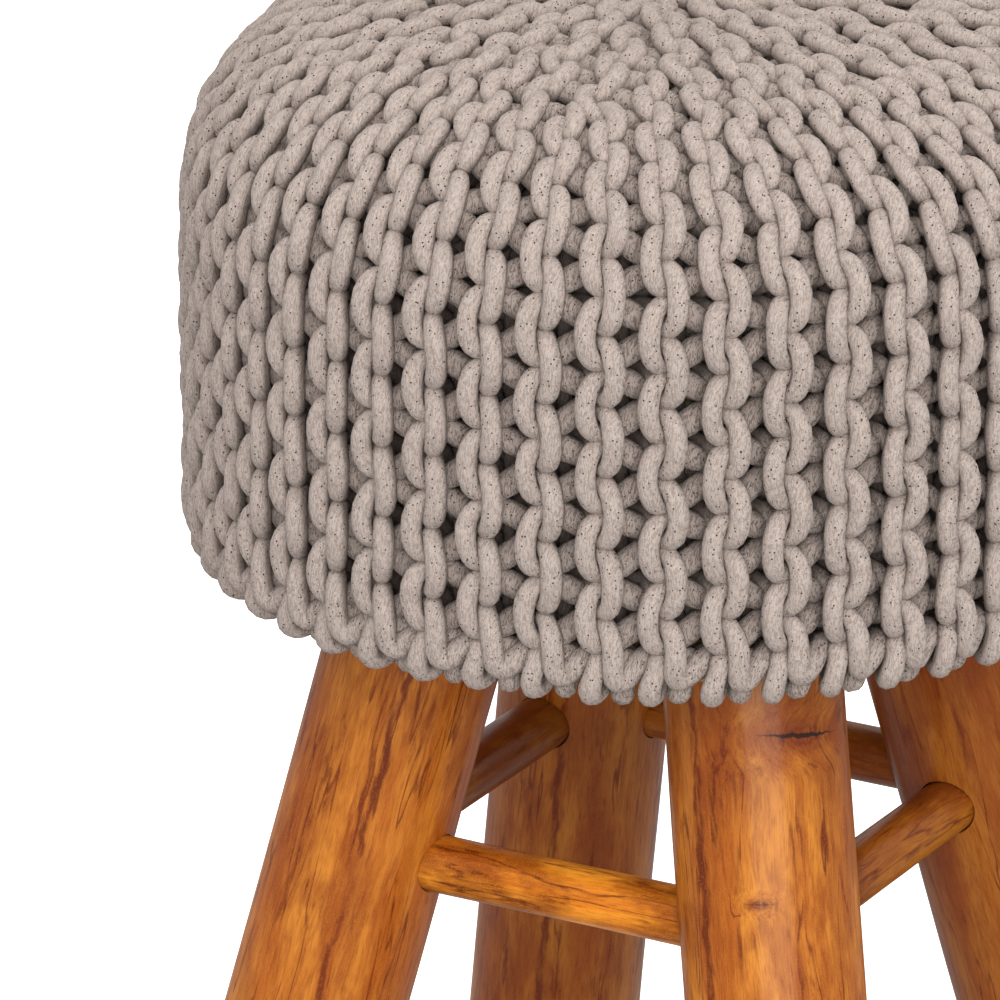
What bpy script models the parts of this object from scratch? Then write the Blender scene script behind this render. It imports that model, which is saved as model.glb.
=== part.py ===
"""Knitted pouf stool: a round filled seat in a chunky garter-stitch cover, on four splayed round legs.

The cover's knitted rows run up the side and meet at the middle of the crown, so the seat carries a ring
of raised ribs.  Its cast-on loops hang below the seat board as a scalloped edge.  Each leg stands flat on
the floor and under the board, and takes two round stretchers in blind mortises.

Metres, +Z up.  The origin is on the floor, under the middle of the seat.
Azimuths are turned from -Y towards +X.
"""

import math

import bpy
from mathutils import Matrix, Vector

# Driving dimensions
HEIGHT = 0.470                # floor to crown
SEAT_RADIUS = 0.180           # over the knitted ribs
CLEARANCE = 0.0003            # between pieces that touch

# Seat form, as fractions of the seat radius, heights above the lowest loops
SEAT_DEPTH = 1.185            # lowest loops to crown
WALL_TOP = 0.70               # where the upright side starts to round over
SHOULDER_ROUNDNESS = 2.25     # exponent of the shoulder curve in height
SHOULDER_SQUARENESS = 3.9     # exponent of the shoulder curve in radius
SHOULDER_LEVELS = 9           # levels from the wall top to the crown
CROWN_RING = 0.25             # innermost ring, where the ribs have faded out
LOWER_EDGE = (                # (radius, height) of the drawn-in lower edge, going up
    (0.900, 0.025),
    (0.935, 0.000),
    (0.972, 0.050),
    (1.000, 0.150),
    (1.000, 0.420),
)

# Knitted ribs
RIB_COUNT = 52
RIB_TURN = math.radians(5.89)     # azimuth of the first rib's middle
RIB_DEPTH = 0.0075                # crest to valley on the side
SCALLOP_LIFT = 0.0070             # valleys end this far above the lowest loops
RIB_SECTION = (                   # (place across one pitch, how far sunk from crest to valley)
    (-0.38, 0.40),
    (-0.20, 0.00),
    (0.20, 0.00),
    (0.38, 0.40),
    (0.50, 1.00),
)

# Seat board, recessed inside the cover's lower edge
BOARD_RADIUS = 0.153
BOARD_THICKNESS = 0.015
BOARD_RECESS = 0.003              # board underside above the lowest loops
BOARD_EDGE = 0.0015               # chamfer on the board's rims
BOARD_SIDES = 96

# Legs
LEG_COUNT = 4
LEG_RADIUS = 0.0327
LEG_AZIMUTH = math.radians(45.0)  # of the first leg
LEG_PLACE = 0.0896                # leg axis from the seat's axis, level with the lowest loops
LEG_SPLAY = math.atan(0.2769)
LEG_SIDES = 64

# Stretchers
ROD_RADIUS = 0.01076
ROD_DROP = 0.1092                 # stretcher axis below the lowest loops
TENON_DEPTH = 0.014               # how far each end goes into its leg
ROD_SIDES = 32

# Worked out from the above
LOOP_LEVEL = HEIGHT - SEAT_DEPTH * SEAT_RADIUS
BOARD_LEVEL = LOOP_LEVEL + BOARD_RECESS
RIB_PITCH = 2 * math.pi / RIB_COUNT
LEG_STEP = 2 * math.pi / LEG_COUNT


def clear_scene():
    for obj in list(bpy.data.objects):
        bpy.data.objects.remove(obj, do_unlink=True)


def make_collection(name):
    collection = bpy.data.collections.new(name)
    bpy.context.scene.collection.children.link(collection)
    return collection


def make_material(name, color, roughness):
    material = bpy.data.materials.new(name)
    material.use_nodes = True
    shader = material.node_tree.nodes["Principled BSDF"]
    shader.inputs["Base Color"].default_value = (*color, 1.0)
    shader.inputs["Roughness"].default_value = roughness
    shader.inputs["Metallic"].default_value = 0.0
    material.diffuse_color = (*color, 1.0)
    return material


def add_object(name, mesh, collection, material=None):
    obj = bpy.data.objects.new(name, mesh)
    collection.objects.link(obj)
    if material is not None:
        mesh.materials.clear()
        mesh.materials.append(material)
    return obj


def around(radius, azimuth, height):
    return Vector((radius * math.sin(azimuth), -radius * math.cos(azimuth), height))


def make_cylinder(name, radius, length, sides):
    """A capped cylinder about local Z, centred on its origin, shaded smooth round its side."""
    bpy.ops.mesh.primitive_cylinder_add(vertices=sides, radius=radius, depth=length)
    made = bpy.context.object
    mesh = made.data
    mesh.name = name
    bpy.data.objects.remove(made)
    mesh.shade_smooth()
    mesh.set_sharp_from_angle(angle=math.radians(30))
    return mesh


# ---------------------------------------------------------------- seat cushion

def rib_depth_at(radius):
    """The ribs crowd together and fade towards the crown."""
    fade = (radius / SEAT_RADIUS - CROWN_RING) / (1 - CROWN_RING)
    return RIB_DEPTH * max(0.0, min(1.0, fade))


def shoulder_point(angle):
    """Radius and height on the curve from the wall top (angle 0) to the crown (a quarter turn)."""
    radius = math.cos(angle) ** (2 / SHOULDER_SQUARENESS)
    rise = math.sin(angle) ** (2 / SHOULDER_ROUNDNESS)
    return radius, WALL_TOP + (SEAT_DEPTH - WALL_TOP) * rise


def seat_levels():
    """(radius, height, outward direction) of the cushion's outer levels, going up."""
    points = list(LOWER_EDGE)
    for step in range(SHOULDER_LEVELS):
        points.append(shoulder_point(math.pi / 2 * step / SHOULDER_LEVELS))
    crown_height = WALL_TOP + (SEAT_DEPTH - WALL_TOP) * (
        (1 - CROWN_RING ** SHOULDER_SQUARENESS) ** (1 / SHOULDER_ROUNDNESS))
    points.append((CROWN_RING, crown_height))
    points = [Vector((r * SEAT_RADIUS, LOOP_LEVEL + z * SEAT_RADIUS)) for r, z in points]
    levels = []
    for i, point in enumerate(points):
        along = points[min(i + 1, len(points) - 1)] - points[max(i - 1, 0)]
        levels.append((point, Vector((along.y, -along.x)).normalized()))
    return levels


def rib_ring(point, outward, depth, lift):
    """One level of points round the seat: crests on the profile, valleys sunk inwards and lifted."""
    ring = []
    for rib in range(RIB_COUNT):
        for place, sunk in RIB_SECTION:
            azimuth = RIB_TURN + (rib + place) * RIB_PITCH
            radius = point.x - outward.x * depth * sunk
            height = point.y - outward.y * depth * sunk + lift * sunk
            ring.append(around(radius, azimuth, height))
    return ring


def make_cushion_mesh():
    """The ribbed outside, lofted level by level, and a plain recess for the board underneath."""
    recess_radius = BOARD_RADIUS + CLEARANCE
    recess_top = BOARD_LEVEL + BOARD_THICKNESS + CLEARANCE
    lowest = LOWER_EDGE[0]
    rings = [
        rib_ring(Vector((recess_radius, recess_top)), Vector((0, 0)), 0.0, 0.0),
        rib_ring(Vector((recess_radius, LOOP_LEVEL + lowest[1] * SEAT_RADIUS)), Vector((0, 0)), 0.0, 0.0),
    ]
    for index, (point, outward) in enumerate(seat_levels()):
        at_edge = index < 2
        depth = 0.0 if at_edge else rib_depth_at(point.x)
        rings.append(rib_ring(point, outward, depth, SCALLOP_LIFT if index == 1 else 0.0))

    verts = [co for ring in rings for co in ring]
    count = len(rings[0])
    faces = []
    for level in range(len(rings) - 1):
        low, high = level * count, (level + 1) * count
        for i in range(count):
            j = (i + 1) % count
            faces.append((low + i, low + j, high + j, high + i))
    recess_pole, crown_pole = len(verts), len(verts) + 1
    verts += [Vector((0, 0, recess_top)), Vector((0, 0, HEIGHT))]
    last = (len(rings) - 1) * count
    for i in range(count):
        j = (i + 1) % count
        faces.append((recess_pole, j, i))
        faces.append((last + i, last + j, crown_pole))

    mesh = bpy.data.meshes.new("seat_cushion")
    mesh.from_pydata(verts, [], faces)
    mesh.validate()
    mesh.shade_smooth()
    return mesh


# ---------------------------------------------------------------- board, legs and stretchers

def make_board(parts, material):
    mesh = make_cylinder("seat_board", BOARD_RADIUS, BOARD_THICKNESS, BOARD_SIDES)
    board = add_object("seat_board", mesh, parts, material)
    board.location = (0, 0, BOARD_LEVEL + BOARD_THICKNESS / 2)
    edge = board.modifiers.new("rims", "BEVEL")
    edge.width = BOARD_EDGE
    edge.segments = 1
    edge.limit_method = "ANGLE"


def leg_axis_radius(height):
    """How far a leg's axis is from the seat's axis at a height above the floor."""
    return LEG_PLACE + (LOOP_LEVEL - height) * math.tan(LEG_SPLAY)


def make_leg_mesh():
    """A splayed round leg in its own frame: local Z is its axis, and both ends are cut level.

    Local 0 is the middle of the foot.  Turned upright, the leg's top leans towards +Y.
    """
    top = BOARD_LEVEL - CLEARANCE
    length = top / math.cos(LEG_SPLAY)
    mesh = make_cylinder("leg", LEG_RADIUS, length, LEG_SIDES)
    upright = Matrix.Rotation(-LEG_SPLAY, 4, "X")
    axis = upright @ Vector((0, 0, 1))
    for vertex in mesh.vertices:
        level = top if vertex.co.z > 0 else 0.0
        start = upright @ Vector((vertex.co.x, vertex.co.y, 0))
        placed = start + axis * ((level - start.z) / axis.z)
        vertex.co = upright.inverted() @ placed
    return mesh


def make_rod_mesh(name, extra):
    """A stretcher about local Z, from mortise bottom to mortise bottom, larger all over by extra."""
    between = leg_axis_radius(LOOP_LEVEL - ROD_DROP) * 2 * math.sin(LEG_STEP / 2)
    length = between - 2 * (LEG_RADIUS - TENON_DEPTH)
    return make_cylinder(name, ROD_RADIUS + extra, length + 2 * extra, ROD_SIDES)


def place_rod(obj, index):
    """Lays a stretcher level between leg index and the next one."""
    height = LOOP_LEVEL - ROD_DROP
    azimuth = LEG_AZIMUTH + (index + 0.5) * LEG_STEP
    obj.location = around(leg_axis_radius(height) * math.cos(LEG_STEP / 2), azimuth, height)
    obj.rotation_euler = (0, math.pi / 2, azimuth)


def make_frame(parts, cutters, leg_material, rod_material):
    rod_mesh = make_rod_mesh("stretcher", 0.0)
    mortise_mesh = make_rod_mesh("mortise", CLEARANCE)
    mortises = []
    for index in range(LEG_COUNT):
        rod = add_object("stretcher_%d" % (index + 1), rod_mesh, parts, rod_material)
        place_rod(rod, index)
        mortise = add_object("mortise_%d" % (index + 1), mortise_mesh, cutters)
        place_rod(mortise, index)
        mortise.hide_render = True
        mortise.display_type = "WIRE"
        mortises.append(mortise)

    leg_mesh = make_leg_mesh()
    for index in range(LEG_COUNT):
        azimuth = LEG_AZIMUTH + index * LEG_STEP
        leg = add_object("leg_%d" % (index + 1), leg_mesh, parts, leg_material)
        leg.location = around(leg_axis_radius(0.0), azimuth, 0.0)
        leg.rotation_euler = (-LEG_SPLAY, 0, azimuth)
        for mortise in (mortises[index], mortises[index - 1]):
            cut = leg.modifiers.new("mortise", "BOOLEAN")
            cut.operation = "DIFFERENCE"
            cut.solver = "EXACT"
            cut.object = mortise


def main():
    clear_scene()
    parts = make_collection("knitted_pouf_stool")
    cutters = make_collection("cutters")
    yarn = make_material("taupe_cotton_yarn", (0.50, 0.42, 0.36), 0.9)
    leg_wood = make_material("honey_varnished_wood", (0.47, 0.16, 0.04), 0.35)
    rod_wood = make_material("brown_varnished_wood", (0.36, 0.12, 0.03), 0.35)
    board_wood = make_material("plain_board", (0.55, 0.40, 0.25), 0.7)
    add_object("seat_cushion", make_cushion_mesh(), parts, yarn)
    make_board(parts, board_wood)
    make_frame(parts, cutters, leg_wood, rod_wood)


main()
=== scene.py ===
"""Looks of the knitted pouf stool: a chunky garter-stitch cover worked from thick felted cotton yarn,
the padded casing that shows through its gaps, and four varnished round legs with their stretchers.

Metres, +Z up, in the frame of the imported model.  Azimuths are turned from -Y towards +X.
"""

import math

import bmesh
import bpy
import numpy as np
from mathutils import Matrix, Vector, noise


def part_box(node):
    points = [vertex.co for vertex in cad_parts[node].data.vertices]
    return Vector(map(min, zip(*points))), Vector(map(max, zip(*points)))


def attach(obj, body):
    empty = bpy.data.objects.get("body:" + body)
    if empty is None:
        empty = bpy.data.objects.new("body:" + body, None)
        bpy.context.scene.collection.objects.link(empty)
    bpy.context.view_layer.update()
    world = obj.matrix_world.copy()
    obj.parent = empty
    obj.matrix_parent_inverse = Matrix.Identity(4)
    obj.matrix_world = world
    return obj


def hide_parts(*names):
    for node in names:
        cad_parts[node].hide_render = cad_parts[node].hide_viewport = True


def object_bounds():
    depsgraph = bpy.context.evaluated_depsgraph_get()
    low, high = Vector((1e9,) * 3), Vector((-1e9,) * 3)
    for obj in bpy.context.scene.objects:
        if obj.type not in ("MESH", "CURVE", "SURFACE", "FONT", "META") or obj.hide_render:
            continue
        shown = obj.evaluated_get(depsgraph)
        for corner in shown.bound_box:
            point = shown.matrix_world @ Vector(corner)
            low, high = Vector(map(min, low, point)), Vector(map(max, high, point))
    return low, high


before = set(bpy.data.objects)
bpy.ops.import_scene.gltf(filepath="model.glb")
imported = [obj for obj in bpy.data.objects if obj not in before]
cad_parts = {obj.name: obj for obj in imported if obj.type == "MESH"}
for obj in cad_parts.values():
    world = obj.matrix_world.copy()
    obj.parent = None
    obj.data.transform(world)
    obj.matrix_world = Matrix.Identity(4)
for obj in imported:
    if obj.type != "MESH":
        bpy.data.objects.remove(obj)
cad_low, cad_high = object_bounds()

# ---------------------------------------------------------------- sizes

# Seat, the same as the solid that the knit stands for
HEIGHT = cad_high.z
SEAT_RADIUS = 0.180
LOOP_LEVEL = HEIGHT - 1.185 * SEAT_RADIUS
WALL_TOP = 0.70                       # of the seat radius, above the lowest loops
CROWN_TOP = 1.190                     # the knit's ridges stand a little above the solid
SHOULDER_ROUNDNESS = 2.25
SHOULDER_SQUARENESS = 3.8
LOWER_EDGE = ((0.955, -0.05), (0.990, 0.0), (1.0, 0.12))

# Knit
ROWS = 52                             # garter ridges round the seat, one knit and one purl row each
SECTORS = 4                           # pieces that the cover is made in
ROW_TURN = math.radians(5.89)         # azimuth of the first ridge
RIDGE_PITCH = 2 * math.pi * SEAT_RADIUS / ROWS
STITCH = 0.1445 * SEAT_RADIUS         # one stitch along a ridge
FIRST_HEAD = 0.202 * SEAT_RADIUS      # first full knit head above the lowest loops
YARN = 0.0415 * SEAT_RADIUS           # yarn diameter
YARN_SIDES = 10
LOOP_DEPTH = 1.18 * YARN              # middle of the fabric to the front of a loop
POINT_STEP = 0.0068                   # along the yarn between points, where it is straight
POINT_TURN = math.radians(27.0)       # and its turn between points, where it bends
UNEVENNESS = (0.16, 0.16, 0.45)       # of the stitches: in stitches, ridge pitches and yarn diameters
FRONT_SPREAD = 0.025                  # how much wider the ridges are at the front, closer at the back
LOW_SIDE = 0.0127 * SEAT_RADIUS       # the cover hangs this much lower at the left of the picture
LOW_SIDE_EDGE = 1.6                   # and its lower edge this many times that

# Stitches are pulled longer from the first to the second of these lengths up the seat, and lie closer
# from there to the third
SHOULDER_STARTS = 0.66 * SEAT_RADIUS
SHOULDER_ENDS = 1.10 * SEAT_RADIUS
CROWN_STARTS = 1.30 * SEAT_RADIUS
SHOULDER_STRETCH = 0.030 * SEAT_RADIUS

# Crown
CROWN_WHOLE = 0.50 * SEAT_RADIUS      # within this radius the fabric is all the crown's
CROWN_EDGE = 0.97 * SEAT_RADIUS       # and outside this one all the side's
CROWN_FLATNESS = 0.55                 # depth of the crown's fabric, against the side's
CROWN_OPENNESS = 0.34                 # how far its loops are drawn back from their neighbours
CROWN_UNEVENNESS = 2.2                # how much more uneven its stitches are
CROWN_THINNESS = 0.03                 # how much thinner its yarn is
CROWN_TWIST = 0.05                    # it is turned a little, in radians
CROWN_LEAN = 0.04 * SEAT_RADIUS       # the rows meet this far to the picture's left of the axis

# Of each four rows number 0 goes on to the middle, and the others end at these radii
ROW_ENDS = {1: 0.64 * SEAT_RADIUS, 2: 0.25 * SEAT_RADIUS, 3: 0.475 * SEAT_RADIUS}
ROW_END_LENGTH = 0.05 * SEAT_RADIUS   # half the length over which a row ends
ROW_END_WAVE = 0.035 * SEAT_RADIUS    # how much the radii vary
ROW_END_WAVES = 5.0                   # and how often, round the crown
NARROWEST = 0.062 * SEAT_RADIUS       # a ridge narrower than this sinks and thins
ENDED = 0.16                          # and has ended at this share of it

# Half a loop from the front of its head to the back, evenly spaced in its phase:
# (along in stitches, across in ridge pitches, outwards in yarn diameters, thickness)
KNIT_LOOP = (
    (0.000, 0.234, 1.18, 1.02),
    (0.170, 0.214, 1.13, 1.02),
    (0.315, 0.158, 0.97, 0.99),
    (0.390, 0.062, 0.66, 0.95),
    (0.396, -0.100, 0.28, 1.04),
    (0.350, -0.260, 0.07, 1.22),
    (0.260, -0.430, -0.10, 1.28),
    (0.175, -0.600, -0.34, 1.20),
    (0.120, -0.750, -0.85, 1.00),
    (0.220, -0.900, -1.30, 0.85),
    (0.500, -0.980, -1.45, 0.80),
)
PURL_LOOP = (
    (0.000, 0.232, 1.18, 1.04),
    (0.170, 0.214, 1.13, 1.04),
    (0.320, 0.158, 0.97, 1.00),
    (0.405, 0.045, 0.58, 0.92),
    (0.320, -0.090, 0.02, 0.88),
    (0.195, -0.200, -0.52, 0.86),
    (0.140, -0.330, -1.05, 0.84),
    (0.140, -0.480, -1.30, 0.84),
    (0.160, -0.640, -1.35, 0.84),
    (0.300, -0.760, -1.35, 0.84),
    (0.500, -0.780, -1.35, 0.84),
)
LAST_KNIT = -0.85                     # where the knit row leaves its lowest loop for the edge
FIRST_PURL = -1.0                     # and where the purl row starts from it

# The yarn at the cast-on edge, from the knit row's lowest loop to the purl row's:
# (height in seat radii, across in ridge pitches, outwards in yarn diameters, thickness)
EDGE_TURN = (
    (0.102, 0.070, 0.88, 0.98),       # a short finger, leaning a little
    (0.080, 0.120, 1.04, 1.00),
    (0.057, 0.168, 1.08, 1.06),
    (0.035, 0.175, 0.84, 1.10),
    (0.021, 0.130, 0.38, 1.06),
    (0.020, 0.060, -0.15, 1.00),
    (0.036, 0.000, -0.62, 0.95),      # back up behind it
    (0.066, -0.045, -1.05, 0.90),
    (0.090, -0.130, -1.25, 0.90),
    (0.070, -0.240, -1.10, 1.00),
    (0.030, -0.300, -0.75, 1.08),     # a nub that hangs behind the lump
    (0.006, -0.310, -0.28, 1.14),
    (0.024, -0.350, 0.06, 1.10),
    (0.052, -0.440, -0.30, 0.98),
    (0.072, -0.570, -0.80, 0.92),
    (0.098, -0.700, -0.80, 0.92),
    (0.110, -0.780, -0.42, 1.00),
    (0.106, -0.730, 0.02, 1.16),
    (0.092, -0.590, 0.30, 1.32),      # a band that leans up to the right
    (0.079, -0.450, 0.52, 1.34),
    (0.073, -0.325, 0.80, 1.24),      # a lump at the foot of the last purl loop
    (0.082, -0.250, 1.04, 1.12),
    (0.102, -0.230, 1.16, 1.06),
)

# Casing
CASING_DEPTH = 3.60 * YARN            # cover's outer surface to the casing
CASING_SIDES = 128
CASING_BASE_EDGE = 0.008              # rounding of its lower edge
CASING_PUFF = 0.0008                  # how far its surface wanders
CASING_INSET = 0.0006                 # and lies back to make room for that
THREAD = 0.0009                       # thread spacing of its weave
WEAVE_RADIUS = 0.15                   # at this radius, for the threads that stand

# Legs and stretchers, the same as the solids
LEG_RADIUS = 0.0327
LEG_COUNT = 4
LEG_AZIMUTH = math.radians(45.0)
LEG_PLACE = 0.0896                    # leg axis from the seat's axis, level with the lowest loops
LEG_SPLAY = math.atan(0.2769)
LEG_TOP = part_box("leg_1")[1].z
ROD_RADIUS = 0.01076
ROD_LEVEL = LOOP_LEVEL - 0.1092
TENON_DEPTH = 0.014
CLEARANCE = 0.0003

POLE_SIDES = 96
LEG_RINGS = 56
ROD_RINGS = 40
POLE_LUMP = 0.0004                    # how far a pole's surface wanders from true
POLE_INSET = 0.0002                   # and lies back to make room for that
FOOT_EDGE = 0.0015
SHARP = math.radians(40.0)

# Pattern of the wood
GRAIN_STEP = 3.1                      # from one pole's part of the pattern to the next one's
UNDER_SEAT_SHADE = (0.172, 0.271)           # heights between which the legs are painted darker towards the seat: painted shade under it
# How far each leg is darkened: the back leg's, the third, is painted shade under the seat; the right leg's,
# the second, is its own darker wood
LEG_TONES_AND_SHADE = (0.02, 0.66, 0.56, 0.02)
ROD_TONES = (0.80, 0.80, 1.0, 0.0)

# Knots of each leg: (height above the floor, turned from the leg's outward side, half width)
LEG_KNOTS = (
    ((0.2195, math.radians(13.5), 0.0170), (0.1628, math.radians(-22.0), 0.0062)),
    ((0.1390, math.radians(60.0), 0.0080), (0.0790, math.radians(100.0), 0.0120)),
    ((0.1140, math.radians(20.0), 0.0110), (0.2140, math.radians(-30.0), 0.0070)),
    ((0.0690, math.radians(-70.0), 0.0090), (0.1990, math.radians(-150.0), 0.0120)),
)
NO_KNOT = (-20.0, 0.0, 0.01)          # far off the end of the pole
KNOT_NAMES = ("first_knot", "second_knot")
KNOT_HEIGHT = 0.42                    # of a knot, against its width
CHECK_TILT = 0.065                    # of the check through it
FAR_SIDE = 50.0                       # how far off, in knots, the other side of the pole counts as

# Each leg's long dark vein: (turned from its outward side, half width)
LEG_VEINS = (
    (math.radians(-60.0), 0.0026),
    (math.radians(35.0), 0.0020),
    (math.radians(150.0), 0.0022),
    (math.radians(70.0), 0.0018),
)
NO_VEIN = (0.0, 0.00001)

# Camera, fitted to the photograph
CAMERA_AZIMUTH = 0.49351
CAMERA_DISTANCE = 20.7457 * SEAT_RADIUS
CAMERA_LEVEL = LOOP_LEVEL + 8.0001 * SEAT_RADIUS
CAMERA_DIP = 0.365
CAMERA_TURN = 0.0172                  # away from the seat's axis
CAMERA_LENS = 396.24

# Lights: (name, azimuth, elevation in degrees, distance, size, watts)
SOFTBOXES = (
    ("top_softbox", CAMERA_AZIMUTH - 0.30, 66.0, 2.6, 2.4, 8.0),
    ("front_softbox", CAMERA_AZIMUTH + 0.12, 18.0, 3.0, 2.4, 73.0),
)
LIT_LEVEL = 0.25                      # height above the floor that they point at

# ---------------------------------------------------------------- helpers for objects and meshes


def around(radius, azimuth, height):
    return Vector((radius * math.sin(azimuth), -radius * math.cos(azimuth), height))


def new_object(name, data):
    made = bpy.data.objects.new(name, data)
    bpy.context.scene.collection.objects.link(made)
    return made


def applied_mesh(piece, name):
    """The mesh that a piece's modifiers make, which are then cleared."""
    mesh = bpy.data.meshes.new_from_object(piece.evaluated_get(bpy.context.evaluated_depsgraph_get()))
    piece.modifiers.clear()
    mesh.name = name
    return mesh


def set_attribute(mesh, name, values):
    """Gives each point of a mesh its own number, or its own three."""
    kind, field = ("FLOAT", "value") if values.ndim == 1 else ("FLOAT_VECTOR", "vector")
    mesh.attributes.new(name, kind, "POINT").data.foreach_set(field, values.ravel())


def join_rings(shape, rings):
    """Faces from each ring of points to the next, and one over the first."""
    count = len(rings[0])
    for low, high in zip(rings, rings[1:]):
        for i in range(count):
            j = (i + 1) % count
            shape.faces.new((low[i], low[j], high[j], high[i]))
    shape.faces.new(list(reversed(rings[0])))


# ---------------------------------------------------------------- helpers for node trees


class Value:
    """One output of a node.  Arithmetic with it makes Math nodes in its tree."""

    def __init__(self, tree, socket):
        self.tree = tree
        self.socket = socket

    def __add__(self, other):
        return maths("ADD", self, other)

    def __sub__(self, other):
        return maths("SUBTRACT", self, other)

    def __rsub__(self, other):
        return maths("SUBTRACT", other, self)

    def __mul__(self, other):
        return maths("MULTIPLY", self, other)

    def __truediv__(self, other):
        return maths("DIVIDE", self, other)

    def __rtruediv__(self, other):
        return maths("DIVIDE", other, self)


class Outputs:
    """A node's outputs as values, by name or number."""

    def __init__(self, tree, node):
        self.tree = tree
        self.node = node

    def __getitem__(self, key):
        return Value(self.tree, self.node.outputs[key])


def set_inputs(tree, node, inputs):
    """Gives a node's inputs, by name or number, a plain value each or another node's output."""
    for key, value in inputs.items():
        if isinstance(value, Value):
            tree.links.new(value.socket, node.inputs[key])
        else:
            node.inputs[key].default_value = value


def add(tree, kind, inputs=None, **settings):
    """The outputs of a new node with these settings and inputs."""
    made = tree.nodes.new(kind)
    for name, value in settings.items():
        setattr(made, name, value)
    set_inputs(tree, made, inputs or {})
    return Outputs(tree, made)


def tree_of(values):
    return next(value.tree for value in values if isinstance(value, Value))


def maths(operation, *values):
    return add(tree_of(values), "ShaderNodeMath", dict(enumerate(values)), operation=operation)[0]


def vector_maths(operation, *values, output="Vector"):
    made = add(tree_of(values), "ShaderNodeVectorMath", dict(enumerate(values)), operation=operation)
    return made[output]


def combine(*parts):
    return add(tree_of(parts), "ShaderNodeCombineXYZ", dict(enumerate(parts)))[0]


def separate(vector):
    parts = add(vector.tree, "ShaderNodeSeparateXYZ", {0: vector})
    return parts[0], parts[1], parts[2]


def noise_at(place, scale, detail=2.0, roughness=0.5, output="Fac"):
    inputs = {"Vector": place, "Scale": scale, "Detail": detail, "Roughness": roughness}
    return add(place.tree, "ShaderNodeTexNoise", inputs)[output]


def ramp(value, low, high, to_low=0.0, to_high=1.0):
    """value, eased from low to high, as to_low to to_high."""
    inputs = {"Value": value, "From Min": low, "From Max": high, "To Min": to_low, "To Max": to_high}
    return add(value.tree, "ShaderNodeMapRange", inputs, interpolation_type="SMOOTHSTEP")["Result"]


def mix_colour(factor, first, second):
    """The first colour where factor is 0 and the second where it is 1."""
    first, second = (colour if isinstance(colour, Value) else (*colour, 1.0) for colour in (first, second))
    # A Mix node has sockets for every kind of data; those for colours are 6 and 7 going in and 2 out
    return add(factor.tree, "ShaderNodeMix", {0: factor, 6: first, 7: second}, data_type="RGBA")[2]


def bump(height, distance, strength, normal=None):
    inputs = {"Height": height, "Distance": distance, "Strength": strength}
    if normal is not None:
        inputs["Normal"] = normal
    return add(height.tree, "ShaderNodeBump", inputs)["Normal"]


def object_place(tree):
    return add(tree, "ShaderNodeTexCoord")["Object"]


def attribute(tree, name, output="Fac"):
    return add(tree, "ShaderNodeAttribute", attribute_name=name)[output]


def new_material(name):
    material = bpy.data.materials.new(name)
    material.use_nodes = True
    tree = material.node_tree
    return material, tree, tree.nodes["Principled BSDF"]


# ---------------------------------------------------------------- materials


def yarn_material():
    """Thick felted cotton cord in warm taupe: matted short fibres, sparse dark flecks, and painted shade
    where it lies deep or faces a neighbour.
    """
    material, tree, shader = new_material("taupe_felted_yarn")
    place = object_place(tree)
    depth = attribute(tree, "fabric_depth")

    matted = noise_at(place, 1400.0, 4.0, 0.70)
    cloudy = noise_at(place, 45.0, 2.0)
    tone = mix_colour(ramp(matted, 0.36, 0.58), (0.352, 0.284, 0.247), (0.456, 0.381, 0.341))
    tone = mix_colour(ramp(cloudy, 0.35, 0.65, 0.0, 0.30), tone, (0.405, 0.332, 0.292))

    # Short fibres lying across one another
    fibres = None
    for turn, spread in ((0.5, 1.0), (-0.8, 1.3), (1.7, 0.8)):
        laid = add(tree, "ShaderNodeMapping", {
            "Vector": place,
            "Rotation": (turn, 0.7 * turn, 1.9 * turn),
            "Scale": (2400.0 * spread, 420.0, 420.0),
        })[0]
        strand = ramp(noise_at(laid, 1.0, 1.0), 0.59, 0.67)
        fibres = strand if fibres is None else maths("MAXIMUM", fibres, strand)
    # The dark fibres are drawn stronger where the yarn lies deeper, which is partly painted shade
    tone = mix_colour(fibres * ramp(depth, -0.2, 0.9, 0.80, 0.38), tone, (0.120, 0.088, 0.070))

    # Sparse dark flecks: a spot in those cells that are chosen by their own colour
    cells = add(tree, "ShaderNodeTexVoronoi", {"Vector": place, "Scale": 520.0, "Randomness": 1.0})
    chosen = ramp(maths("FRACT", cells["Color"] * 7.0), 0.36, 0.38)
    fleck = ramp(cells["Distance"], 0.15, 0.20, 1.0, 0.0) * chosen
    tone = mix_colour(fleck * 0.95, tone, (0.014, 0.010, 0.009))

    # Painted shade: yarn that lies deeper in the fabric is drawn browner, the deepest near black,
    # and so is its side that faces a neighbour, less on the crown
    tone = mix_colour(ramp(depth, -0.8, 0.85, 0.36, 0.0), tone, (0.190, 0.145, 0.118))
    tone = mix_colour(ramp(depth, -0.75, -0.25, 0.70, 0.0), tone, (0.070, 0.049, 0.040))
    painted_side_shade = ramp(attribute(tree, "facing_out"), -0.22, 0.38, 0.56, 0.0)
    painted_side_shade = painted_side_shade * (attribute(tree, "on_crown") * -0.70 + 1.0)
    tone = mix_colour(painted_side_shade, tone, (0.090, 0.058, 0.042))

    lumps = bump(noise_at(place, 160.0, 2.0), 0.0012, 0.5)
    set_inputs(tree, shader, {
        "Base Color": tone,
        "Roughness": 0.92,
        "Specular IOR Level": 0.18,
        "Sheen Weight": 0.06,
        "Sheen Roughness": 0.5,
        "Normal": bump(matted - fibres * 0.5, 0.0006, 0.7, lumps),
    })
    return material


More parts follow.
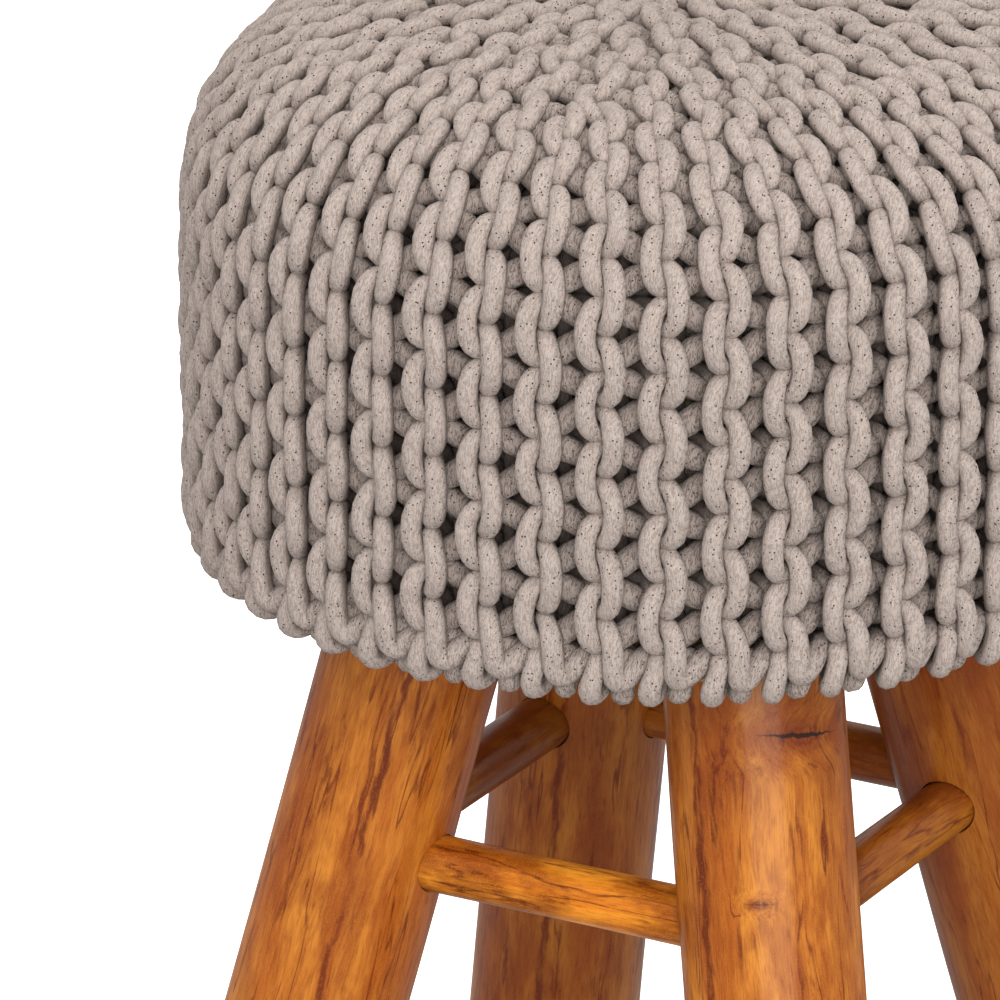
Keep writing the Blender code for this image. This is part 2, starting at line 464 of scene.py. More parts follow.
def casing_material():
    """Close-woven grey-brown cotton of the padded casing."""
    material, tree, shader = new_material("casing_cotton")
    place = object_place(tree)
    x, y, z = separate(place)
    around_threads = maths("SINE", maths("ARCTAN2", y, x) * round(2 * math.pi * WEAVE_RADIUS / THREAD))
    up_threads = maths("SINE", z * (2 * math.pi / THREAD))
    weave = around_threads * up_threads
    slub = noise_at(place, 220.0, 3.0)
    tone = mix_colour(ramp(weave, -1.0, 1.0), (0.460, 0.372, 0.320), (0.610, 0.506, 0.442))
    tone = mix_colour(ramp(slub, 0.35, 0.65, 0.0, 0.5), tone, (0.380, 0.304, 0.258))
    set_inputs(tree, shader, {
        "Base Color": tone,
        "Roughness": 0.95,
        "Specular IOR Level": 0.2,
        "Normal": bump(weave, 0.0003, 0.5),
    })
    return material


def wood_material(name, light, middle, dark, streak, blotch, gloss, varnish):
    """Varnished wood on the "grain_place" attribute: x and y across the pole, z along it.

    blotch is the strength of its dark patches, gloss its least roughness and varnish its coat's weight.
    """
    material, tree, shader = new_material(name)
    place = attribute(tree, "grain_place", "Vector")
    x, y, z = separate(place)

    def seen_from(turn):
        """How far across the pole a point is, and in front of its axis, seen from this turn round it."""
        sine, cosine = maths("SINE", turn), maths("COSINE", turn)
        return x * cosine + y * sine, x * sine - y * cosine

    # Each knot is given as its turn round the pole, its place along it and its half width
    knots = []
    bend = 0.0
    for knot_name in KNOT_NAMES:
        turn, level, size = separate(attribute(tree, knot_name, "Vector"))
        across, in_front = seen_from(turn)
        along = z - level
        flat = across / size
        tall = along / (size * KNOT_HEIGHT)
        from_knot = maths("SQRT", flat * flat + tall * tall) + maths("LESS_THAN", in_front, 0.0) * FAR_SIDE
        bend = ramp(from_knot, 0.2, 2.4, 1.0, 0.0) * size * 0.45 + bend
        knots.append((across, along, size, flat, from_knot))

    # The grain wanders, and bends round the knots
    wander = noise_at(vector_maths("MULTIPLY", place, (1.0, 1.0, 0.35)), 30.0, 2.0, output="Color")
    wander = vector_maths("SUBTRACT", wander, (0.5, 0.5, 0.5))
    wander = vector_maths("MULTIPLY", wander, (0.008, 0.008, 0.008))
    grain = vector_maths("ADD", vector_maths("ADD", place, wander), combine(bend, bend, 0.0))

    def streaks(wide, long, detail, roughness):
        return noise_at(vector_maths("MULTIPLY", grain, (wide, wide, long)), 1.0, detail, roughness)

    broad = streaks(62.0, 9.0, 4.0, 0.6)
    fine = streaks(330.0, 40.0, 6.0, 0.70)
    hairs = streaks(1500.0, 130.0, 3.0, 0.6)
    dashes = streaks(250.0, 40.0, 5.0, 0.66)
    veins = streaks(95.0, 9.0, 3.0, 0.5)
    patches = noise_at(vector_maths("MULTIPLY", place, (1.0, 1.0, 0.5)), 36.0, 4.0, 0.62)
    speckle = noise_at(place, 1500.0, 3.0)

    tone = mix_colour(ramp(broad, 0.36, 0.62), light, middle)
    tone = mix_colour(ramp(fine, 0.46, 0.70, 0.0, 0.55), tone, dark)
    tone = mix_colour(ramp(patches, 0.44, 0.62, 0.0, blotch), tone, dark)
    tone = mix_colour(ramp(dashes, 0.55, 0.68) * ramp(patches, 0.40, 0.60, 0.12, 0.80), tone, streak)

    # Dark veins, where the pattern of the veins crosses one level
    off_vein = maths("ABSOLUTE", fine * 0.05 + veins - 0.60)
    vein = ramp(off_vein, 0.004, 0.022, 0.80, 0.0) * ramp(dashes, 0.40, 0.56, 0.25, 1.0)
    tone = mix_colour(vein, tone, streak)

    # One long dark vein, given as its turn round the pole and its half width
    turn, half_width, _ = separate(attribute(tree, "long_vein", "Vector"))
    across, in_front = seen_from(turn)
    sway = (noise_at(combine(0.0, 0.0, z), 34.0, 3.0) - 0.5) * 0.016
    long_vein = ramp(maths("ABSOLUTE", across - sway) / half_width, 0.3, 1.0, 0.85, 0.0)
    long_vein = long_vein * maths("GREATER_THAN", in_front, 0.0) * ramp(dashes, 0.38, 0.52, 0.15, 1.0)
    tone = mix_colour(long_vein, tone, streak)

    tone = mix_colour(ramp(hairs, 0.42, 0.70, 0.0, 0.40), tone, dark)
    tone = mix_colour(ramp(speckle, 0.50, 0.75, 0.0, 0.24), tone, light)
    # Darkened by each piece's set tone, which for the back leg is painted shade, and by painted shade under
    # the seat
    tone = mix_colour(attribute(tree, "wood_tone") * 0.80, tone, (0.105, 0.018, 0.004))

    # A knot: a reddish eye, broken rings round it and a thin dark check through it
    checks = 0.0
    for across, along, size, flat, from_knot in knots:
        eye = ramp(from_knot + fine * 0.9, 0.7, 1.7, 0.85, 0.0) * ramp(hairs, 0.36, 0.60, 0.60, 1.0)
        tone = mix_colour(eye, tone, (0.160, 0.026, 0.006))

        rings = ramp(maths("SINE", from_knot * 15.0 + fine * 16.0), 0.1, 0.9, 0.0, 0.65)
        rings = rings * ramp(from_knot, 0.40, 1.10, 1.0, 0.0) * ramp(dashes, 0.42, 0.58, 0.10, 1.0)
        tone = mix_colour(rings, tone, (0.100, 0.016, 0.004))

        ragged = (noise_at(combine(across, size, 0.0), 420.0, 2.0) - 0.5) * (size * 0.12)
        bow = flat * flat * (size * 0.05)
        off_check = maths("ABSOLUTE", across * CHECK_TILT + along + ragged - bow)
        check_width = ramp(maths("ABSOLUTE", flat), 0.1, 1.0, 1.0, 0.0) * (size * 0.050)
        check = ramp(off_check - check_width, -0.0003, 0.0003, 1.0, 0.0)
        check = check * ramp(from_knot, 0.90, 1.05, 1.0, 0.0) * ramp(size, 0.004, 0.012, 0.45, 1.0)
        tone = mix_colour(check * 0.92, tone, (0.012, 0.008, 0.007))
        checks = check + checks

    set_inputs(tree, shader, {
        "Base Color": tone,
        "Roughness": ramp(fine, 0.3, 0.7, gloss, gloss + 0.14),
        "Specular IOR Level": 0.09,
        "Coat Weight": varnish,
        "Coat Roughness": 0.18,
        "Normal": bump(hairs * 0.35 - checks, 0.0006, 0.35),
    })
    return material


def board_material():
    """Plain pale plywood under the seat."""
    material, tree, shader = new_material("seat_board_wood")
    place = object_place(tree)
    grain = noise_at(vector_maths("MULTIPLY", place, (9.0, 120.0, 120.0)), 1.0, 5.0, 0.6)
    pores = noise_at(vector_maths("MULTIPLY", place, (60.0, 1500.0, 1500.0)), 1.0, 2.0)
    tone = mix_colour(ramp(grain, 0.35, 0.65), (0.560, 0.390, 0.230), (0.420, 0.270, 0.140))
    tone = mix_colour(ramp(pores, 0.58, 0.70, 0.0, 0.5), tone, (0.230, 0.140, 0.075))
    set_inputs(tree, shader, {"Base Color": tone, "Roughness": 0.65, "Normal": bump(pores, 0.0002, 0.3)})
    return material


# ---------------------------------------------------------------- seat form


def seat_profile(points=260):
    """Radius and height above the lowest loops of the cover's outer surface, lower edge to crown."""
    profile = list(LOWER_EDGE)
    steps = points - len(profile)
    for step in range(steps + 1):
        # Even steps in angle bunch up at both ends, where the curve is nearly straight
        angle = math.pi / 2 * step / steps
        radius = math.cos(angle) ** (2 / SHOULDER_SQUARENESS) if step < steps else 0.0
        rise = math.sin(angle) ** (2 / SHOULDER_ROUNDNESS)
        profile.append((radius, WALL_TOP + (CROWN_TOP - WALL_TOP) * rise))
    return [(r * SEAT_RADIUS, z * SEAT_RADIUS) for r, z in profile]


PROFILE_START = math.dist(LOWER_EDGE[0], LOWER_EDGE[1]) * SEAT_RADIUS   # along it, up to the lowest loops


def profile_length():
    points = seat_profile()
    return sum(math.dist(a, b) for a, b in zip(points, points[1:])) - PROFILE_START


def make_profile_curve():
    """The profile in the XZ plane, for the knit to follow."""
    data = bpy.data.curves.new("seat_profile", "CURVE")
    data.dimensions = "3D"
    points = seat_profile()
    spline = data.splines.new("POLY")
    spline.points.add(len(points) - 1)
    for point, (radius, height) in zip(spline.points, points):
        point.co = (radius, 0.0, height, 1.0)
    return new_object("seat_profile", data)


# ---------------------------------------------------------------- knit cover


def smooth_through(points, steps):
    """A Catmull-Rom curve through points, with steps per span, from the second point to the last but one."""
    smooth = []
    for a, b, c, d in zip(points, points[1:], points[2:], points[3:]):
        for step in range(steps):
            t = step / steps
            smooth.append(0.5 * (2 * b + (c - a) * t + (2 * a - 5 * b + 4 * c - d) * t * t
                                 + (3 * b - 3 * c + d - a) * t ** 3))
    return np.array(smooth + [points[-2]])


def row_points(half_loop, first_head, first, last, side):
    """Points (along, across, outwards, reach, thickness) up one row, from loop number first to last.

    Whole numbers are heads at the front and halves are at the back.  A loop is symmetric about its head.
    """
    spans = len(half_loop) - 1
    points = []
    for step in range(round(first * 2 * spans), round(last * 2 * spans) + 1):
        loop, part = divmod(step, 2 * spans)
        along, across, out, thickness = half_loop[min(part, 2 * spans - part)]
        if part > spans:
            along = 1 - along
        reach = first_head + step / (2 * spans) * STITCH
        points.append((first_head + (loop + along) * STITCH, side * across, out * YARN, reach, thickness))
    return points


def evened(points):
    """points, moved along their own line: closest where it bends, furthest apart at the fabric's back."""
    places = points[:, :3] * (1.0, RIDGE_PITCH, 1.0)
    steps = np.diff(places, axis=0)
    lengths = np.linalg.norm(steps, axis=1)
    headings = steps / lengths[:, None]
    turns = np.arccos(np.clip((headings[1:] * headings[:-1]).sum(1), -1.0, 1.0))
    turns = np.append(turns, 0.0)
    at_back = np.clip(-0.4 - points[1:, 2] / YARN, 0.0, 1.0)
    walked = np.append(0.0, np.cumsum((lengths / POINT_STEP + turns / POINT_TURN) * (1.0 - 0.5 * at_back)))
    wanted = np.linspace(0.0, walked[-1], round(walked[-1]) + 1)
    return np.stack([np.interp(wanted, walked, column) for column in points.T], -1)


def make_row_template():
    """One ridge's yarn, flat: down the knit row from the crown, round the edge and up the purl row.

    X is the distance along the seat's profile, Y the place across in pitches and Z outwards.
    """
    loops = round(2 * (profile_length() - FIRST_HEAD) / STITCH) / 2
    down = row_points(KNIT_LOOP, FIRST_HEAD, LAST_KNIT, loops + 0.5, 1)[::-1]
    up = row_points(PURL_LOOP, FIRST_HEAD + STITCH / 2, FIRST_PURL, loops, -1)
    turn = [(z * SEAT_RADIUS, across, out * YARN, 0.0, thickness) for z, across, out, thickness in EDGE_TURN]
    points = evened(smooth_through(np.array(down + turn + up), 6))
    mesh = bpy.data.meshes.new("row_template")
    mesh.from_pydata(points[:, :3].tolist(), [(i, i + 1) for i in range(len(points) - 1)], [])
    set_attribute(mesh, "row_reach", points[:, 3])
    set_attribute(mesh, "thickness", points[:, 4])
    return mesh


# What the knit tree is given: (name, kind, default)
KNIT_INPUTS = (
    ("Seat profile", "Object", None),
    ("First row", "Int", 0),
    ("Row count", "Int", ROWS // SECTORS),
    ("Rows in all", "Int", ROWS),
    ("First azimuth", "Float", ROW_TURN),
    ("Lowest loops", "Float", LOOP_LEVEL),
    ("Stitch length", "Float", STITCH),
    ("Narrowest ridge", "Float", NARROWEST),
    ("Yarn diameter", "Float", YARN),
    ("Loop depth", "Float", LOOP_DEPTH),
    ("Unevenness", "Float", 1.0),
    ("Shoulder stretch", "Float", SHOULDER_STRETCH),
    ("Front spread", "Float", FRONT_SPREAD),
    ("Low side", "Float", LOW_SIDE),
    ("Crown twist", "Float", CROWN_TWIST),
    ("Crown lean", "Float", CROWN_LEAN),
    ("Crown flatness", "Float", CROWN_FLATNESS),
    ("Crown openness", "Float", CROWN_OPENNESS),
    ("Yarn", "Material", None),
)


def add_input(tree, name, kind, default):
    socket = tree.interface.new_socket(name, in_out="INPUT", socket_type="NodeSocket" + kind)
    if default is not None:
        socket.default_value = default
    return socket.identifier


def stored(tree, name, kind="FLOAT"):
    """A named attribute of the geometry that asks for it."""
    return add(tree, "GeometryNodeInputNamedAttribute", {"Name": name}, data_type=kind)[0]


def store(geometry, name, value, kind="FLOAT"):
    return add(geometry.tree, "GeometryNodeStoreNamedAttribute", {
        "Geometry": geometry, "Name": name, "Value": value}, data_type=kind, domain="POINT")[0]


def knit_tree():
    """Repeats the row template round the seat and gives the yarn its thickness."""
    tree = bpy.data.node_groups.new("knit rows", "GeometryNodeTree")
    tree.interface.new_socket("Geometry", in_out="INPUT", socket_type="NodeSocketGeometry")
    tree.interface.new_socket("Geometry", in_out="OUTPUT", socket_type="NodeSocketGeometry")
    names = {name: add_input(tree, name, kind, default) for name, kind, default in KNIT_INPUTS}
    given = Outputs(tree, tree.nodes.new("NodeGroupInput"))

    line = add(tree, "GeometryNodeMeshToCurve", {0: given["Geometry"]})[0]
    repeated = add(tree, "GeometryNodeDuplicateElements", {
        "Geometry": line, "Amount": given["Row count"]}, domain="SPLINE")
    row = repeated["Duplicate Index"] + given["First row"]
    along, across, out = separate(add(tree, "GeometryNodeInputPosition")[0])
    pitch = 2 * math.pi / given["Rows in all"]
    profile = add(tree, "GeometryNodeObjectInfo", {"Object": given["Seat profile"]})["Geometry"]

    def profile_at(distance):
        """The profile's radius and height at this distance up it, and how far its normal goes out and up."""
        sample = add(tree, "GeometryNodeSampleCurve", {
            "Curves": profile, "Length": distance + PROFILE_START}, mode="LENGTH")
        radius, _, height = separate(sample["Position"])
        tangent_out, _, tangent_up = separate(sample["Tangent"])
        return radius, height, tangent_up, tangent_out * -1.0

    def stretch_at(distance):
        """How far past its even place a stitch lies: pulled long up the shoulder, then close to the next."""
        pulled = ramp(distance, SHOULDER_STARTS, SHOULDER_ENDS, 0.0, given["Shoulder stretch"])
        closed = ramp(distance, SHOULDER_ENDS, CROWN_STARTS, 0.0, given["Shoulder stretch"])
        return pulled - closed

    # Place in the fabric, from which neighbours get like unevenness
    angle = (row - across) * pitch
    girth = given["Rows in all"] / (2 * math.pi)
    fabric = combine(
        maths("SINE", angle) * girth,
        maths("COSINE", angle) * girth,
        along / given["Stitch length"],
    )

    # Loops over the crown reach less far past their neighbours
    reach = stored(tree, "row_reach")
    ring_radius = profile_at(reach + stretch_at(reach))[0]
    on_crown = ramp(ring_radius, CROWN_WHOLE, CROWN_EDGE, 1.0, 0.0)
    along = along + (reach - along) * (on_crown * given["Crown openness"])

    # Uneven stitches
    uneven = given["Unevenness"] * (on_crown * CROWN_UNEVENNESS + 1.0)
    most_along, most_across, most_out = UNEVENNESS
    shift = vector_maths("SUBTRACT", noise_at(fabric, 0.75, 1.5, output="Color"), (0.5, 0.5, 0.5))
    shift_along, shift_across, shift_out = separate(vector_maths("MULTIPLY", shift, combine(
        given["Stitch length"] * most_along * uneven,
        uneven * most_across,
        given["Yarn diameter"] * most_out * uneven,
    )))
    along = along + shift_along
    across = across + shift_across

    # Ridge width: even round the side.  As a row ends on the crown, the two beside it spread into its place
    odd = maths("FLOORED_MODULO", row, 2.0)
    of_four = maths("FLOORED_MODULO", row, 4.0)
    is_three = maths("GREATER_THAN", of_four, 2.5)
    side = maths("COMPARE", of_four, 2.0, 0.1) * -2.0 + 1.0
    wave = maths("SINE", row * pitch * ROW_END_WAVES) * ROW_END_WAVE

    def runs_on(number):
        """1 where this row of each four is still at its full width, and 0 where it has ended."""
        return ramp(ring_radius - (wave + ROW_ENDS[number]), -ROW_END_LENGTH, ROW_END_LENGTH)

    one_on, two_on, three_on = runs_on(1), runs_on(2), runs_on(3)
    odd_width = one_on * (1.0 - is_three) + three_on * is_three
    even_width = ((one_on + three_on) * -0.5 + 2.0) * (side * (1.0 - two_on) + 1.0)
    width = ring_radius * pitch * (odd * odd_width + (1.0 - odd) * even_width)
    squeeze = maths("MINIMUM", width / given["Narrowest ridge"], 1.0)
    row_place = row + side * (1.0 - odd) * ((three_on - one_on) * 0.25)

    # The fabric is flatter over the crown, its fronts level with the profile
    flatness = on_crown * (given["Crown flatness"] - 1.0) + 1.0
    # fabric_depth, and facing_out below, drive the yarn's painted shade
    fabric_depth = (out / given["Loop depth"] - 1.0) * flatness + 1.0
    curves = store(repeated["Geometry"], "squeeze", squeeze)
    curves = store(curves, "on_crown", on_crown)
    curves = store(curves, "fabric_depth", fabric_depth)

    # From the flat row to its place round the seat
    stretched = stretch_at(along)
    to_left = maths("SINE", CAMERA_AZIMUTH - (angle + given["First azimuth"]))
    dropped = (to_left * 0.5 + 0.5) * (
        ramp(along, 0.1 * SEAT_RADIUS, 0.5 * SEAT_RADIUS, LOW_SIDE_EDGE, 1.0) * given["Low side"])
    radius, height, normal_out, normal_up = profile_at(along + (stretched - dropped))
    behind = (out + shift_out - given["Loop depth"]) * flatness
    sunk = (1.0 - squeeze) * given["Yarn diameter"] + given["Yarn diameter"] * 0.5
    lift = behind - sunk
    share = maths("MINIMUM", width / maths("MAXIMUM", radius, 0.001), pitch * 4.0)
    azimuth = given["First azimuth"] + (row_place * pitch - across * share)
    azimuth = azimuth + maths("SINE", azimuth - CAMERA_AZIMUTH) * given["Front spread"]
    azimuth = azimuth - ramp(radius, CROWN_WHOLE, SEAT_RADIUS, given["Crown twist"], 0.0)
    sine, cosine = maths("SINE", azimuth), maths("COSINE", azimuth)
    outward = combine(sine * normal_out, cosine * (normal_out * -1.0), normal_up)
    radius = radius + normal_out * lift
    height = height + normal_up * lift
    lean = ramp(radius, 0.0, SEAT_RADIUS, 1.0, 0.0) * given["Crown lean"]
    wound = combine(
        sine * radius - lean * math.cos(CAMERA_AZIMUTH),
        cosine * (radius * -1.0) - lean * math.sin(CAMERA_AZIMUTH),
        height + given["Lowest loops"],
    )
    curves = store(curves, "outward", outward, "FLOAT_VECTOR")
    curves = add(tree, "GeometryNodeSetPosition", {"Geometry": curves, "Position": wound})[0]
    ended = maths("LESS_THAN", stored(tree, "squeeze"), ENDED)
    curves = add(tree, "GeometryNodeDeleteGeometry", {
        "Geometry": curves, "Selection": ended}, domain="POINT")[0]

    # Yarn thickness
    lumps = ramp(noise_at(add(tree, "GeometryNodeInputPosition")[0], 120.0, 1.0), 0.3, 0.7, 0.955, 1.045)
    thinned = ramp(stored(tree, "squeeze"), 0.0, 1.0, 0.82, 1.0)
    thinned = thinned * (stored(tree, "on_crown") * -CROWN_THINNESS + 1.0)
    section = add(tree, "GeometryNodeCurvePrimitiveCircle", {
        "Resolution": YARN_SIDES, "Radius": given["Yarn diameter"] * 0.5})[0]
    yarn = add(tree, "GeometryNodeCurveToMesh", {
        "Curve": curves,
        "Profile Curve": section,
        "Scale": lumps * thinned * stored(tree, "thickness"),
        "Fill Caps": True,
    })[0]
    # How far the yarn's surface faces out, for the painted shade on its sides
    normal = add(tree, "GeometryNodeInputNormal")[0]
    facing = vector_maths("DOT_PRODUCT", stored(tree, "outward", "FLOAT_VECTOR"), normal, output="Value")
    yarn = store(yarn, "facing_out", facing)
    yarn = add(tree, "GeometryNodeSetShadeSmooth", {"Geometry": yarn})[0]
    yarn = add(tree, "GeometryNodeSetMaterial", {"Geometry": yarn, "Material": given["Yarn"]})[0]
    yarn = add(tree, "GeometryNodeRealizeInstances", {"Geometry": yarn})[0]
    set_inputs(tree, tree.nodes.new("NodeGroupOutput"), {0: yarn})
    return tree, names


def make_knit(material):
    """The cover in equal sectors of whole rows."""
    tree, names = knit_tree()
    profile = make_profile_curve()
    template = make_row_template()
    pieces = []
    for sector in range(SECTORS):
        flat = new_object("flat_rows", template)
        knit = flat.modifiers.new("knit", "NODES")
        knit.node_group = tree
        knit[names["Seat profile"]] = profile
        knit[names["First row"]] = sector * (ROWS // SECTORS)
        knit[names["Row count"]] = ROWS // SECTORS
        knit[names["Yarn"]] = material
        mesh = applied_mesh(flat, "knit_rows_%d" % (sector + 1))
        bpy.data.objects.remove(flat)
        pieces.append(new_object(mesh.name, mesh))
    bpy.data.objects.remove(profile)
    return pieces


# ---------------------------------------------------------------- casing


def casing_outline(base):
    """Radius and height of the casing, from its base to near the middle of its crown."""
    profile = seat_profile(120)
    outline = []
    for before, here, after in zip(profile, profile[1:], profile[2:]):
        run, rise = after[0] - before[0], after[1] - before[1]
        length = math.hypot(run, rise)
        radius = here[0] - CASING_DEPTH * rise / length
        height = LOOP_LEVEL + here[1] + CASING_DEPTH * run / length
        if height > base + CASING_BASE_EDGE and radius > 0.01:
            outline.append((radius, height))
    side_radius = outline[0][0]
    for step in range(5):
        turn = math.pi / 2 * step / 5
        outline.insert(step, (side_radius - CASING_BASE_EDGE * (1 - math.sin(turn)),
                              base + CASING_BASE_EDGE * (1 - math.cos(turn))))
    return outline


def make_casing(material):
    """The padded casing inside the knit: it stands on the board and is crowned like the seat."""
    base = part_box("seat_board")[1].z + CLEARANCE
    shape = bmesh.new()
    rings = []
    for radius, height in casing_outline(base):
        ring = []
        for side in range(CASING_SIDES):
            azimuth = 2 * math.pi * side / CASING_SIDES
            point = around(radius, azimuth, height)
            puff = CASING_PUFF * noise.noise(point * 22.0) if height > base + CASING_BASE_EDGE else 0.0
            ring.append(shape.verts.new(around(radius - CASING_INSET + puff, azimuth, height)))
        rings.append(ring)
    join_rings(shape, rings)
    top = shape.verts.new((0, 0, height + 0.0002))
    for i in range(CASING_SIDES):
        shape.faces.new((rings[-1][i], rings[-1][(i + 1) % CASING_SIDES], top))
    mesh = bpy.data.meshes.new("seat_casing")
    shape.to_mesh(mesh)
    shape.free()
    mesh.shade_smooth()
    mesh.materials.append(material)
    return new_object("seat_casing", mesh)


# ---------------------------------------------------------------- legs and stretchers


def leg_axis_radius(height):
    return LEG_PLACE + (LOOP_LEVEL - height) * math.tan(LEG_SPLAY)


def leg_frame(index):
    """From a leg's own frame (Z up its axis, outward side at -Y) to the world; its origin is the foot."""
    azimuth = LEG_AZIMUTH + index * 2 * math.pi / LEG_COUNT
    foot = Matrix.Translation(around(leg_axis_radius(0.0), azimuth, 0.0))
    return foot @ Matrix.Rotation(azimuth, 4, "Z") @ Matrix.Rotation(-LEG_SPLAY, 4, "X")


def rod_frame(index):
    """From a stretcher's own frame (Z along it, from one leg to the next) to the world."""
    azimuth = LEG_AZIMUTH + (index + 0.5) * 2 * math.pi / LEG_COUNT
    middle = around(leg_axis_radius(ROD_LEVEL) * math.cos(math.pi / LEG_COUNT), azimuth, ROD_LEVEL)
    laid = Matrix.Rotation(azimuth, 4, "Z") @ Matrix.Rotation(math.pi / 2, 4, "Y")
    return Matrix.Translation(middle) @ laid


def lumpy(radius, turn, along, seed):
    """The radius of a pole that isn't quite round or straight."""
    place = Vector((math.sin(turn) * 1.4 + seed * 9.7, math.cos(turn) * 1.4, along * 14.0))
    return radius - POLE_INSET + POLE_LUMP * noise.noise(place)


def pole_mesh(name, sections):
    """A closed pole from rings of points, given from one end to the other."""
    shape = bmesh.new()
    rings = [[shape.verts.new(p) for p in ring] for ring in sections]
    join_rings(shape, rings)
    shape.faces.new(rings[-1])
    mesh = bpy.data.meshes.new(name)
    shape.to_mesh(mesh)
    shape.free()
    return mesh


def leg_sections(index):
    """Rings up a leg, in the world: both ends level, the foot's rim eased."""
    to_world = leg_frame(index)
    axis = to_world.to_3x3() @ Vector((0, 0, 1))
    levels = [(0.0, FOOT_EDGE), (FOOT_EDGE * 0.35, FOOT_EDGE * 0.3), (FOOT_EDGE, 0.0)]
    levels += [(LEG_TOP * i / LEG_RINGS, 0.0) for i in range(1, LEG_RINGS)]
    levels += [(LEG_TOP - FOOT_EDGE * 0.5, 0.0), (LEG_TOP, FOOT_EDGE * 0.5)]
    sections = []
    for height, inset in levels:
        ring = []
        for side in range(POLE_SIDES):
            turn = 2 * math.pi * side / POLE_SIDES
            radius = lumpy(LEG_RADIUS, turn, height, index) - inset
            start = to_world @ Vector((radius * math.sin(turn), -radius * math.cos(turn), 0.0))
            ring.append(start + axis * ((height - start.z) / axis.z))
        sections.append(ring)
    return sections


def rod_sections(index, clearance=0.0, rings=ROD_RINGS):
    """Rings along a stretcher, in the world, or along the true round hole that gives it this clearance."""
    to_world = rod_frame(index)
    half = leg_axis_radius(ROD_LEVEL) * math.sin(math.pi / LEG_COUNT) - (LEG_RADIUS - TENON_DEPTH) + clearance
    sections = []
    for step in range(rings + 1):
        along = half * (2 * step / rings - 1)
        ring = []
        for side in range(POLE_SIDES):
            turn = 2 * math.pi * side / POLE_SIDES
            radius = ROD_RADIUS + clearance if clearance else lumpy(ROD_RADIUS, turn, along, index + 7)
            ring.append(to_world @ Vector((radius * math.cos(turn), radius * math.sin(turn), along)))
        sections.append(ring)
    return sections


def set_wood_attributes(mesh, to_world, seed, tone, knots, vein):
    """Grain, knot and vein coordinates for the wood's pattern, and its darkening, partly painted shade."""
    count = len(mesh.vertices)
    flat = np.empty(count * 3)
    mesh.vertices.foreach_get("co", flat)
    to_own = np.array(to_world.inverted())
    own = flat.reshape(-1, 3) @ to_own[:3, :3].T + to_own[:3, 3]
    set_attribute(mesh, "grain_place", own + np.array((0.0, 0.0, GRAIN_STEP * seed)))
    for name, (height, turn, size) in zip(KNOT_NAMES, tuple(knots) + (NO_KNOT, NO_KNOT)):
        knot = (turn, height / math.cos(LEG_SPLAY) + GRAIN_STEP * seed, size)
        set_attribute(mesh, name, np.tile(knot, (count, 1)))
    set_attribute(mesh, "long_vein", np.tile((*vein, 0.0), (count, 1)))
    # The set tone, drawn darker towards the seat: painted shade under it
    rise = np.clip((flat[2::3] - UNDER_SEAT_SHADE[0]) / (UNDER_SEAT_SHADE[1] - UNDER_SEAT_SHADE[0]), 0.0, 1.0)
    set_attribute(mesh, "wood_tone", tone + 0.70 * rise ** 1.5 * (1.0 - tone))


def add_pole(name, sections, material):
    mesh = pole_mesh(name, sections)
    mesh.materials.append(material)
    mesh.shade_smooth()
    mesh.set_sharp_from_angle(angle=SHARP)
    return new_object(mesh.name, mesh)


def make_legs(material):
    """Four legs with a blind mortise for each stretcher end."""
    cutters = []
    for index in range(LEG_COUNT):
        mesh = pole_mesh("mortise_%d" % index, rod_sections(index, CLEARANCE, 1))
        cutters.append(new_object(mesh.name, mesh))
    legs = []
    for index in range(LEG_COUNT):
        leg = add_pole("turned_leg_%d" % (index + 1), leg_sections(index), material)
        for cutter in (cutters[index], cutters[index - 1]):
            cut = leg.modifiers.new("mortise", "BOOLEAN")
            cut.operation = "DIFFERENCE"
            cut.solver = "EXACT"
            cut.object = cutter
        leg.data = applied_mesh(leg, leg.name)
        leg.data.set_sharp_from_angle(angle=SHARP)
        set_wood_attributes(
            leg.data, leg_frame(index), index + 1, LEG_TONES_AND_SHADE[index], LEG_KNOTS[index], LEG_VEINS[index])
        legs.append(leg)
    for cutter in cutters:
        bpy.data.objects.remove(cutter)
    return legs


def make_rods(material):
    rods = []
    for index in range(LEG_COUNT):
        rod = add_pole("round_stretcher_%d" % (index + 1), rod_sections(index), material)
        set_wood_attributes(rod.data, rod_frame(index), index + 11, ROD_TONES[index], (), NO_VEIN)
        rods.append(rod)
    return rods


# ---------------------------------------------------------------- camera, stage and light


def make_camera():
    data = bpy.data.cameras.new("camera")
    data.lens = CAMERA_LENS
    data.sensor_width = 36.0
    data.clip_end = 20.0
    camera = new_object("camera", data)
    camera.location = around(CAMERA_DISTANCE, CAMERA_AZIMUTH, CAMERA_LEVEL)
    camera.rotation_euler = (math.pi / 2 - CAMERA_DIP, 0, CAMERA_AZIMUTH + CAMERA_TURN)
    bpy.context.scene.camera = camera


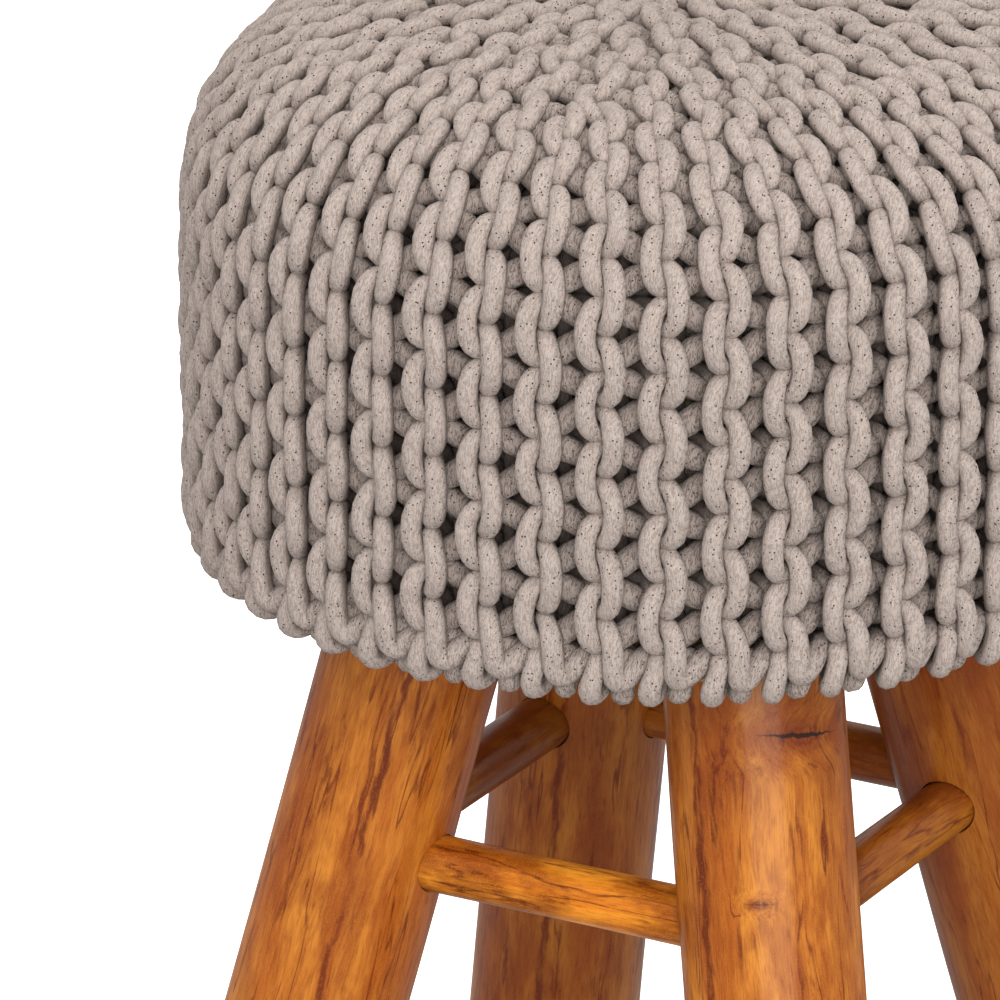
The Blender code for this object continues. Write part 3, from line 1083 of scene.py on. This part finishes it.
def make_stage():
    """A plain white floor that stays white, a grey room, and soft light from in front and above."""
    material, tree, shader = new_material("studio_floor")
    set_inputs(tree, shader, {
        "Base Color": (0.85, 0.85, 0.85, 1.0),
        "Roughness": 1.0,
        "Emission Color": (1.0, 1.0, 1.0, 1.0),
        "Emission Strength": 0.75,
    })
    bpy.ops.mesh.primitive_plane_add(size=24.0, location=(0, 0, -0.0002))
    floor = bpy.context.object
    floor.name = "studio_floor"
    floor.data.materials.append(material)
    floor.visible_diffuse = False
    floor.visible_glossy = False

    # The room is lighter above than below
    world = bpy.data.worlds.new("studio")
    world.use_nodes = True
    tree = world.node_tree
    upwards = separate(add(tree, "ShaderNodeTexCoord")["Generated"])[2]
    set_inputs(tree, tree.nodes["Background"], {
        "Color": (1.0, 1.0, 1.0, 1.0),
        "Strength": ramp(upwards, -0.30, 0.60, 0.52, 1.24),
    })
    bpy.context.scene.world = world
    bpy.context.scene.view_settings.view_transform = "Standard"

    for name, azimuth, elevation, distance, size, power in SOFTBOXES:
        data = bpy.data.lights.new(name, "AREA")
        data.size = size
        data.energy = power
        light = new_object(name, data)
        rise = math.radians(elevation)
        light.location = around(distance * math.cos(rise), azimuth, LIT_LEVEL + distance * math.sin(rise))
        aim = Vector((0, 0, LIT_LEVEL)) - light.location
        light.rotation_euler = aim.to_track_quat("-Z", "Y").to_euler()


# ---------------------------------------------------------------- putting it together


def main():
    make_camera()
    make_stage()
    casing = make_casing(casing_material())
    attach(casing, "root")
    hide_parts("seat_cushion")

    for piece in make_knit(yarn_material()):
        piece.parent = casing
        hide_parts("seat_cushion")

    leg_wood = wood_material(
        "honey_varnished_legs", light=(0.595, 0.216, 0.028), middle=(0.395, 0.104, 0.011),
        dark=(0.190, 0.028, 0.003), streak=(0.105, 0.013, 0.002), blotch=0.50, gloss=0.34, varnish=0.20)
    for index, leg in enumerate(make_legs(leg_wood)):
        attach(leg, "root")
        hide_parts("leg_%d" % (index + 1))

    rod_wood = wood_material(
        "brown_varnished_stretchers", light=(0.880, 0.340, 0.032), middle=(0.660, 0.195, 0.014),
        dark=(0.190, 0.028, 0.003), streak=(0.095, 0.012, 0.002), blotch=0.70, gloss=0.26, varnish=0.05)
    for index, rod in enumerate(make_rods(rod_wood)):
        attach(rod, "root")
        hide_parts("stretcher_%d" % (index + 1))

    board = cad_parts["seat_board"]
    board.data.materials.clear()
    board.data.materials.append(board_material())


main()
